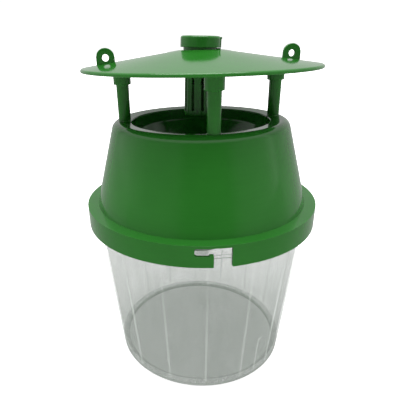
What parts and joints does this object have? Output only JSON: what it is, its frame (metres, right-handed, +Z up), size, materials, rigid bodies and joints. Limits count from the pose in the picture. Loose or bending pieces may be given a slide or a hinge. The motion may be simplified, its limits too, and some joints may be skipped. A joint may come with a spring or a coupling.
{
  "type": "wasp trap",
  "caption": "Hanging bucket wasp trap: clear bucket, twist-on green funnel head, domed roof on posts with hanging lugs, lure cage with a hinged cap.",
  "frame": {"origin": "centre of the bucket's base, on the plane that the bucket stands on", "axes": "+Z up along the trap's axis; front post on -Y; hanging lugs on -X and +X"},
  "size_m": [0.16, 0.16, 0.2262],
  "materials": {
    "green_plastic": "glossy injection-moulded polypropylene, mid green",
    "clear_bucket": "slightly milky translucent polypropylene, smooth",
    "bait": "dull pressed bait block"
  },
  "bodies": {
    "bucket": {"bucket_shell": "clear_bucket", "bucket_ribs": "clear_bucket", "locking_pegs": "clear_bucket"},
    "funnel_head": {"collar_ring": "green_plastic", "cone_skirt": "green_plastic", "entry_funnel": "green_plastic", "post_front": "green_plastic", "post_right": "green_plastic", "post_back": "green_plastic", "post_left": "green_plastic"},
    "roof": {"roof_lid": "green_plastic", "socket_front": "green_plastic", "socket_right": "green_plastic", "socket_back": "green_plastic", "socket_left": "green_plastic", "hanging_lug_left": "green_plastic", "hanging_lug_right": "green_plastic", "lure_cage": "green_plastic", "lure_plug": "bait", "cap_strap": "green_plastic"},
    "cap": {"cage_cap": "green_plastic"}
  },
  "joints": [
    {"name": "collar_twist", "type": "hinge", "parent": "bucket", "child": "funnel_head", "pos_m": [0, 0, 0.114], "axis": [0, 0, 1], "range_deg": [-8.4, 0]},
    {"name": "roof_lift", "type": "slide", "parent": "funnel_head", "child": "roof", "axis": [0, 0, 1], "range_m": [0, 0.03]},
    {"name": "cap_hinge", "type": "hinge", "parent": "roof", "child": "cap", "pos_m": [0.0126, 0, 0.21855], "axis": [0, 1, 0], "range_deg": [-2.3, 90]}
  ]
}
